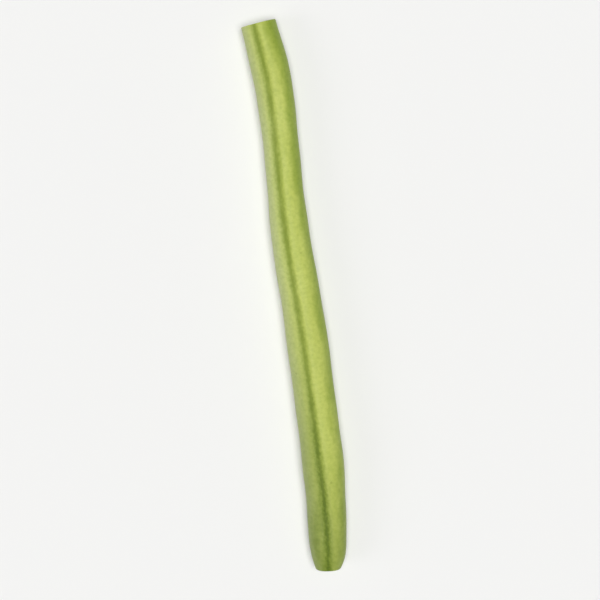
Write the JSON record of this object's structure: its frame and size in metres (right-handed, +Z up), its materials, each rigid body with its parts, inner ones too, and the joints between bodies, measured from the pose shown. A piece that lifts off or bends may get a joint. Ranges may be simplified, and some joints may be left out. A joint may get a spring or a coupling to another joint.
{
  "type": "green bean",
  "caption": "Trimmed green bean pod, slim, round and gently bowed, lying on its side with its suture facing up and both ends cut flat.",
  "frame": {"origin": "centre of the bounding box's underside, on the surface that the pod lies on", "axes": "+X along the pod from its rounded stem end to its straight-cut end, +Z up, and the pod bows towards -Y"},
  "size_m": [0.1188, 0.0102, 0.0089],
  "materials": {
    "pod": "satin, fresh plant skin with a fine pale down, and moist flesh at the two cuts"
  },
  "bodies": {
    "root": {"green_bean_pod": "pod"}
  },
  "joints": []
}
